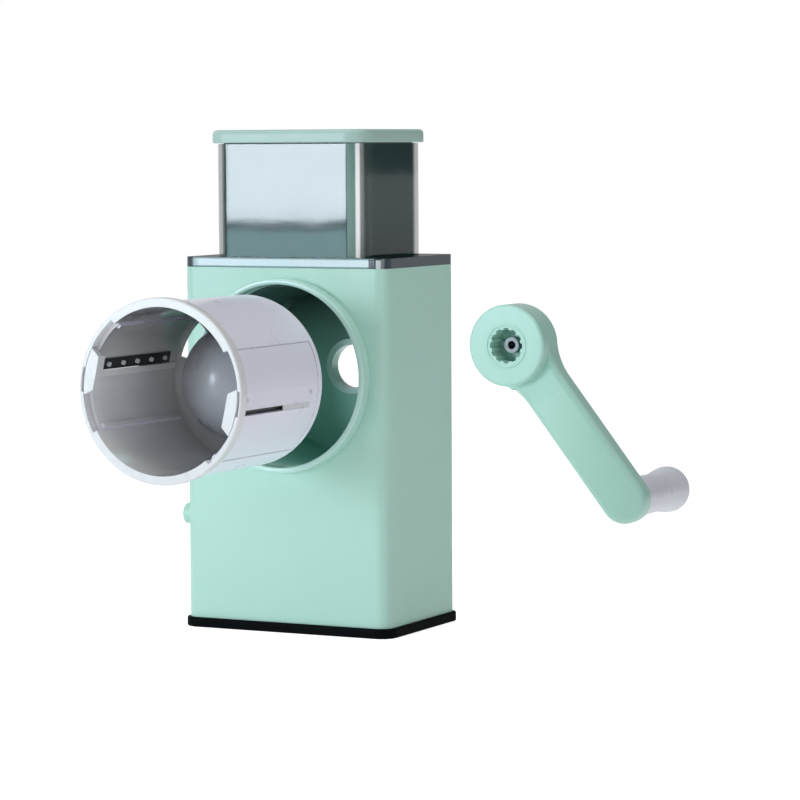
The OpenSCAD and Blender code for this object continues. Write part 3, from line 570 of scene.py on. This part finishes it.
def rounded(bm, radius, segments=2, where=None, clamped=True):
    """Bevels the sharp edges, or those of them whose middle passes the test called where."""
    edges = []
    for edge in bm.edges:
        if len(edge.link_faces) == 2 and edge.calc_face_angle() > sharp_from:
            middle = (edge.verts[0].co + edge.verts[1].co) / 2
            if where is None or where(middle):
                edges.append(edge)
    bmesh.ops.bevel(bm, geom=edges, offset=radius, offset_type="OFFSET", segments=segments, profile=0.5,
                    affect="EDGES", material=-1, clamp_overlap=clamped)


def smoothed(name, bm, finishes):
    """Turns the work mesh into a smooth shaded object that has these finishes."""
    mesh = bpy.data.meshes.new(name)
    bm.to_mesh(mesh)
    bm.free()
    for finish in finishes:
        mesh.materials.append(finish)
    piece = keep(name, mesh)
    mesh.shade_smooth()
    mesh.set_sharp_from_angle(angle=smooth_up_to)
    weighted = piece.modifiers.new("weighted", "WEIGHTED_NORMAL")
    weighted.keep_sharp = True
    print(name, "has", len(mesh.polygons), "faces")
    return piece


def finished(name, bm, finishes, replaced, paint=None):
    """Makes the piece that stands for the replaced nodes; paint picks the finish of each face."""
    if paint:
        for face in bm.faces:
            face.material_index = paint(face)
    piece = smoothed(name, bm, finishes)
    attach(piece, body_of[replaced[0]])
    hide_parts(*replaced)


def softened(node, finishes, *rounds, paint=None):
    """Rounds a copy of one node, round by round, each of a radius, its segments and a test."""
    bm = merged_copy(node)
    for radius, segments, where in rounds:
        rounded(bm, radius, segments, where)
    finished(node + "_soft", bm, finishes, [node], paint)


print("edges sharper than", round(math.degrees(sharp_from)), "degrees get a round")

# %% [markdown]
# ## Turned forms
#
# The collar's lip and the grip are round about an axis that runs from front to back. They could
# be bevelled like the rest, but the CAD solids have flat facets there. So a profile is drawn beside
# the axis and spun once round it, which gives an even curve and a closed surface.

# %% Helpers for turned forms
axis_z = 146.5 * mm


def turned(profile, centre, steps=96):
    """Spins a profile of (radius, place along Y) once round the Y axis through the centre."""
    bm = bmesh.new()
    points = [bm.verts.new(Vector(centre) + Vector((0, along, radius))) for radius, along in profile]
    edges = [bm.edges.new(pair) for pair in zip(points, points[1:])]
    bmesh.ops.spin(bm, geom=points + edges, cent=centre, axis=(0, 1, 0), angle=2 * math.pi,
                   steps=steps, use_merge=True)
    bmesh.ops.remove_doubles(bm, verts=bm.verts, dist=weld)
    bmesh.ops.recalc_face_normals(bm, faces=bm.faces)
    return bm


def bend(middle_r, middle_y, radius, start, end, count=6):
    """Points of an arc in the profile's plane, from the start angle to the end angle in degrees."""
    points = []
    for i in range(count + 1):
        angle = math.radians(start + (end - start) * i / count)
        points.append((middle_r + radius * math.cos(angle), middle_y + radius * math.sin(angle)))
    return points


print("drum's axis", round(axis_z / mm, 1), "mm up")

# %% [markdown]
# ## Body shell, collar and housing
#
# The shell is one tall box with the round opening in front. Its top and bottom rims are nearly
# sharp, while the collar's lip is fully rounded and shines; its lighter mint is a painted highlight
# over that real gloss. So the shell only gets a small round, and the collar is turned afresh with a
# half circle for its front edge.

# %% Body
softened("body_shell", [shell_mint], (0.5 * mm, 2, None))
collar_low, collar_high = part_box("front_collar")
collar_wall = 3.3 * mm
lip_r = 1.25 * mm
collar_out = collar_high[0]
collar_in = collar_out - collar_wall
lip_y, seat_y = collar_low[1], collar_high[1]
collar_profile = [(collar_out, seat_y), (collar_out, lip_y + lip_r)]
collar_profile += bend(collar_out - lip_r, lip_y + lip_r, lip_r, 0, -90)
collar_profile += bend(collar_in + lip_r, lip_y + lip_r, lip_r, -90, -180)
collar_profile += [(collar_in, seat_y), (collar_out, seat_y)]
finished("front_collar_lip", turned(collar_profile, (0, 0, axis_z)), [mint_painted_highlight], ["front_collar"])
softened("drum_housing", [housing_mint], (0.4 * mm, 2, None))

# %% [markdown]
# ## Base
#
# The base is black and stands out two millimetres all round. Its upper edge carries a thin bright
# line of light. A round on every edge would also soften the hidden recess for nothing, so only
# the edges near the outside get one.

# %% Base
base_low, base_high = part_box("base_plate")
base_rim = 4 * mm


def on_base_rim(p):
    at_side = p.x > base_high[0] - base_rim or p.x < base_low[0] + base_rim
    return at_side or abs(p.y) > base_high[1] - base_rim


softened("base_plate", [base_black], (0.8 * mm, 3, on_base_rim))

# %% [markdown]
# ## Hopper, catch, lid and pusher
#
# The hopper's flange is a thick clear slab whose polished edge bends the light, so its rims are
# rounded and its outer faces get the banded finish with its painted band of light. The lid has a
# soft crown. Under it hangs the pusher, whose near-black colour is painted shade, the dark inside
# the closed hopper and up the throat; it is what darkens the smoke walls.

# %% Hopper and lid
flange_reach = 7.6 * mm
flange_slack = 0.5 * mm
crown_depth = 0.5 * mm
lid_reach = 5 * mm


def on_flange_rim(p):
    inwards = max(abs(p.x) - hopper_high[0], abs(p.y) - hopper_high[1])
    below_top = p.z < flange_top_z + flange_slack
    above_seat = p.z > flange_top_z - flange_t - flange_slack
    return below_top and above_seat and inwards > -flange_reach


def on_hopper_top(p):
    return p.z > lid_low[2] - 1 * mm


def on_lid_crown(p):
    return p.z > lid_high[2] - crown_depth


def on_lid_side(p):
    return max(abs(p.x) - lid_high[0], abs(p.y) - lid_high[1]) > -lid_reach


def flange_paint(face):
    """Picks the banded finish, with its painted band of light, for the flange's upright faces."""
    upright_face = abs(face.normal.z) < 0.8
    return int(upright_face and on_flange_rim(face.calc_center_median()))


softened("hopper", [smoke_clear, clear_rim], (0.7 * mm, 3, on_flange_rim), (0.3 * mm, 2, on_hopper_top),
         paint=flange_paint)
softened("flange_catch", [catch_dark], (0.25 * mm, 2, None))
softened("pusher_cap", [lid_mint], (2.6 * mm, 5, on_lid_crown), (0.7 * mm, 2, on_lid_side))
# The pusher carries the painted shade of the hopper's inside.
softened("pusher_box", [pusher_painted_shade], (0.5 * mm, 2, None))

# %% [markdown]
# ## Drum
#
# The drum is a pale cup with a wide front rim, two recesses for the blade panels and a dome that
# keeps the food near the blades. The rim and the panels' finger tabs look whiter than the drum's
# side because the light falls on them, so they get a finish of their own, a whiter copy of the
# drum's plastic with that light painted in; the inside gets one too, with painted shade. Cutting
# the drum into three pieces would leave seams, so each face picks its finish by where it lies and
# how it faces.

# %% Drum
rim_len = 6 * mm
rear_depth = 10 * mm
front_edge_r = 49 * mm
rim_slack = 0.5 * mm
fine_edge = (0.3 * mm, 2, None)


def off_axis(place):
    """How far a place lies from the drum's axis."""
    return math.hypot(place.x, place.z - axis_z)


def inside_paint(face):
    """Picks the inside's finish for what faces the drum's axis, and for the rear wall's front."""
    middle = face.calc_center_median()
    outward = Vector((middle.x, 0, middle.z - axis_z))
    faces_axis = face.normal.dot(outward.normalized()) < -0.6
    faces_front = face.normal.y < -0.8 and middle.y > drum_high[1] - rear_depth
    return int(middle.y > drum_low[1] + rim_len and (faces_axis or faces_front))


def rim_light_paint(face):
    """Picks the rim's whiter finish, its painted light, for the rim and the tabs, and leaves the rest to
    the inside's rule.
    """
    if face.calc_center_median().y < drum_low[1] + rim_len + rim_slack:
        return 2
    return inside_paint(face)


def on_drum_front(p):
    return p.y < drum_low[1] + rim_slack and off_axis(p) > front_edge_r


drum_finishes = [drum_grey, drum_inside, rim_painted_light]
softened("drum_shell", drum_finishes, (0.9 * mm, 3, on_drum_front), fine_edge, paint=rim_light_paint)
softened("drum_dome", [dome_grey], fine_edge)
softened("drum_shaft", [drum_grey], (0.25 * mm, 2, None))

# %% [markdown]
# ## Blade panels
#
# Each panel slides out of the drum and carries a steel blade over its slot. The panels are nearly
# the same grey as the drum, so only their parting lines tell them apart: those come from the real
# gap between the solids. Of the blade only the ground edge is bright; the rest of its plate is
# seen as part of the panel and has the panel's grey. Inside, a black strip with pale studs lies
# along the slot. Painted dots would look flat, but the CAD strip has real studs, so the faces that
# stand higher than the strip get the pale finish.

# %% Panels and blades
bare_steel = 2.4 * mm
stud_height = 0.15 * mm


def area(face):
    return face.calc_area()


def strip_with_studs(side):
    strip = merged_copy(side + "_tooth_comb")
    widest = max(strip.faces, key=area).calc_center_median()
    inward = (Vector((0, widest.y, axis_z)) - widest).normalized()
    two_widest = sorted(strip.faces, key=area)[-2:]
    strip_top = max(inward.dot(face.calc_center_median()) for face in two_widest)
    rounded(strip, 0.12 * mm)

    def stud_paint(face):
        return int(inward.dot(face.calc_center_median()) > strip_top + stud_height)

    finished(side + "_strip", strip, [strip_black, stud_grey], [side + "_tooth_comb"], paint=stud_paint)


def blade_with_bright_edge(side):
    blade = merged_copy(side + "_slicing_blade")
    corners = sorted((vert.co.copy() for vert in blade.verts), key=off_axis)
    edge_place = Vector((corners[-1].x, 0, corners[-1].z))
    back_place = corners[len(corners) // 2 - 1]
    back = Vector((back_place.x - edge_place.x, 0, back_place.z - edge_place.z)).normalized()

    def seat_paint(face):
        return int((face.calc_center_median() - edge_place).dot(back) > bare_steel)

    finished(side + "_edge", blade, [blade_steel, panel_grey], [side + "_slicing_blade"], paint=seat_paint)


# The tabs share the rim's whiter finish, with its painted light.
panel_finishes = [panel_grey, drum_inside, rim_painted_light]
for side in ("left", "right"):
    softened(side + "_blade_panel", panel_finishes, fine_edge, paint=rim_light_paint)
    strip_with_studs(side)
    blade_with_bright_edge(side)
    softened(side + "_blade_rivets", [fastener_steel], (0.15 * mm, 2, None))

# %% [markdown]
# ## Steel lip inside and blade end outside
#
# Inside, a bright folded lip runs under the black strip, and it is the lightest line in the drum;
# its near-white colour is a painted highlight, the shine of the steel painted in.
# Outside, the rear half of the slot is closed by the blade's end, a shade greyer than the panel.
# Both could be drawn on the panel's finish, but a line without thickness looks printed. So they
# are thin plates, laid out in the slot's own frame: outwards from the axis, across the slot and
# along the drum.

# %% Lip and blade end
panel_turn, slot_turn = 11.5, 1
slot_angle = math.radians(180 - panel_turn - slot_turn)
slot_start = drum_high[1] - 12 * mm
slot_end = drum_low[1] + 10 * mm
closed_from = slot_end + 0.6 * (slot_start - slot_end)
lip_start, lip_end = slot_end + 1 * mm, drum_high[1] - 4 * mm
plate_round = 0.15 * mm


def plate(name, side, spans, finish):
    """A flat plate; its spans are outwards from the axis, across the slot and along the drum."""
    turn = slot_angle + (math.pi if side == "right" else 0)
    radial = Vector((math.cos(turn), 0, math.sin(turn)))
    tangent = Vector((-math.sin(turn), 0, math.cos(turn)))
    bm = bmesh.new()
    bmesh.ops.create_cube(bm, size=1)
    for vert in bm.verts:
        place = [low + (high - low) * (share + 0.5) for (low, high), share in zip(spans, vert.co)]
        vert.co = Vector((0, place[2], axis_z)) + radial * place[0] + tangent * place[1]
    bmesh.ops.recalc_face_normals(bm, faces=bm.faces)
    rounded(bm, plate_round)
    piece = smoothed(name, bm, [finish])
    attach(piece, body_of[side + "_blade_panel"])


lip_spans = ((44.0 * mm, 44.95 * mm), (0.1 * mm, 3.6 * mm), (lip_start, lip_end))
end_spans = ((46.2 * mm, 47.0 * mm), (-2.25 * mm, 2.25 * mm), (closed_from, slot_start))
for side in ("left", "right"):
    # The lip's near-white is a painted highlight.
    plate(side + "_steel_lip", side, lip_spans, lip_painted_highlight)
    plate(side + "_blade_end", side, end_spans, stud_grey)

# %% [markdown]
# ## Crank
#
# The crank's hub and arm are one thick moulding with generous rounds, and its hub holds a steel
# pin inside a grooved socket. One radius for all edges would either leave the arm hard or fill the
# socket's grooves, so arm, back, hub and socket each get their own.

# %% Crank
back_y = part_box("crank_arm")[1][1]
arm_front_y = back_y - 15 * mm
hub_front_y = back_y - 24 * mm
face_slack = 0.2 * mm
arm_from_r, hub_edge_r, socket_r = 29 * mm, 25 * mm, 16 * mm


def on_arm_front(p):
    return abs(p.y - arm_front_y) < face_slack and off_axis(p) > arm_from_r


def on_crank_back(p):
    return abs(p.y - back_y) < face_slack


def on_hub_front(p):
    return abs(p.y - hub_front_y) < face_slack and off_axis(p) > hub_edge_r


def on_socket(p):
    return p.y < hub_front_y + face_slack and off_axis(p) < socket_r


crank = merged_copy("crank_arm")
rounded(crank, 4.5 * mm, 6, on_arm_front, clamped=False)
rounded(crank, 2.6 * mm, 5, on_crank_back, clamped=False)
rounded(crank, 1.8 * mm, 4, on_hub_front)
rounded(crank, 0.25 * mm, 2, on_socket)
finished("crank_soft", crank, [arm_mint], ["crank_arm"])
softened("crank_sleeve", [pin_steel], fine_edge)

# %% [markdown]
# ## Grip
#
# The grip is a turned form: a neck that flares a little at the arm and swells to a round end. It
# could be cut from rings, but a spun profile gives the whole curve at once, so the body of the grip
# and its end plug are one surface with a fine groove between them. The profile starts inside, with
# the bore that turns on the axle and the wider room round the axle's head.

# %% Grip
grip_low, grip_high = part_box("grip")
cap_low, cap_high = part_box("grip_cap")
axle_low, axle_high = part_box("grip_axle")
grip_x = (grip_low[0] + grip_high[0]) / 2
grip_z = (grip_low[2] + grip_high[2]) / 2
grip_start, grip_seam, grip_end = grip_low[1], cap_low[1], cap_high[1]
bulb_r = (grip_high[0] - grip_low[0]) / 2
neck_r = 12.7 * mm
flare = 0.8 * mm
mouth_r = neck_r + flare
mouth_round = 1.0 * mm
mouth_in_r = mouth_r - 1.2 * mm
curve_len = 74 * mm
swell_from, swell_len = 0.5, 0.34
groove = 0.3 * mm
bore_r = 4.3 * mm
bore_flare = 1 * mm
bore_gap = 0.3 * mm
head_len = 2.5 * mm
head_r = (axle_high[0] - axle_low[0]) / 2 + bore_gap
head_end = axle_high[1] + bore_gap
head_start = axle_high[1] - head_len - bore_gap
side_steps, end_steps = 40, 20


def grip_radius(share):
    """The radius at a share of the curve's length: a slight flare first, then the swell."""
    if share < swell_from:
        return neck_r + flare * (1 - share / swell_from) ** 2
    swell = min(1, (share - swell_from) / swell_len)
    return neck_r + (bulb_r - neck_r) * (1 - math.cos(math.pi * swell)) / 2


grip_profile = [(0, head_end), (head_r, head_end), (head_r, head_start), (bore_r, head_start)]
grip_profile += [(bore_r, grip_start + bore_flare), (mouth_in_r, grip_start)]
grip_profile += bend(mouth_r - mouth_round, grip_start + mouth_round, mouth_round, -90, 0, 4)
for i in range(2, side_steps + 1):
    along = grip_start + (grip_seam - groove - grip_start) * i / side_steps
    grip_profile.append((grip_radius((along - grip_start) / curve_len), along))
grip_profile += [(bulb_r - groove, grip_seam), (bulb_r, grip_seam + groove)]
for i in range(2, end_steps):
    angle = math.pi / 2 * i / end_steps
    grip_profile.append((bulb_r * math.cos(angle), grip_seam + (grip_end - grip_seam) * math.sin(angle)))
grip_profile += [(0, grip_end)]
finished("grip_turned", turned(grip_profile, (grip_x, 0, grip_z), 72), [grip_grey], ["grip", "grip_cap"])

# %% [markdown]
# ## Lever, bush and what lies hidden
#
# The lever's tip peeps out on the left. The bush shows as rings round the hole in the rear wall.
# The rest is under or behind the body. All of it could be left as bare CAD, but the pieces come
# into view when the part is turned or lifted, so each gets its finish and a small round, and one
# table keeps them together.

# %% Small pieces
small_pieces = (
    ("suction_lever", shell_mint, 1.2 * mm, 3),
    # The bush takes the lip's lighter mint, with its painted highlight.
    ("drive_bush", mint_painted_highlight, 0.35 * mm, 2),
    ("bush_clip", fastener_steel, 0.15 * mm, 1),
    ("suction_cup", cup_rubber, 0.4 * mm, 2),
    ("suction_bell", bell_white, 0.5 * mm, 2),
    ("suction_stem", bell_white, 0.12 * mm, 1),
    ("cam_shaft", fastener_steel, 0.4 * mm, 2),
    ("lift_cam", fastener_steel, 0.4 * mm, 2),
    ("grip_axle", fastener_steel, 0.3 * mm, 2),
    ("base_screws", fastener_steel, 0.12 * mm, 1),
    ("shaft_screws", fastener_steel, 0.12 * mm, 1),
    ("lever_screw", fastener_steel, 0.12 * mm, 1),
)
for node, finish, radius, segments in small_pieces:
    softened(node, [finish], (radius, segments, None))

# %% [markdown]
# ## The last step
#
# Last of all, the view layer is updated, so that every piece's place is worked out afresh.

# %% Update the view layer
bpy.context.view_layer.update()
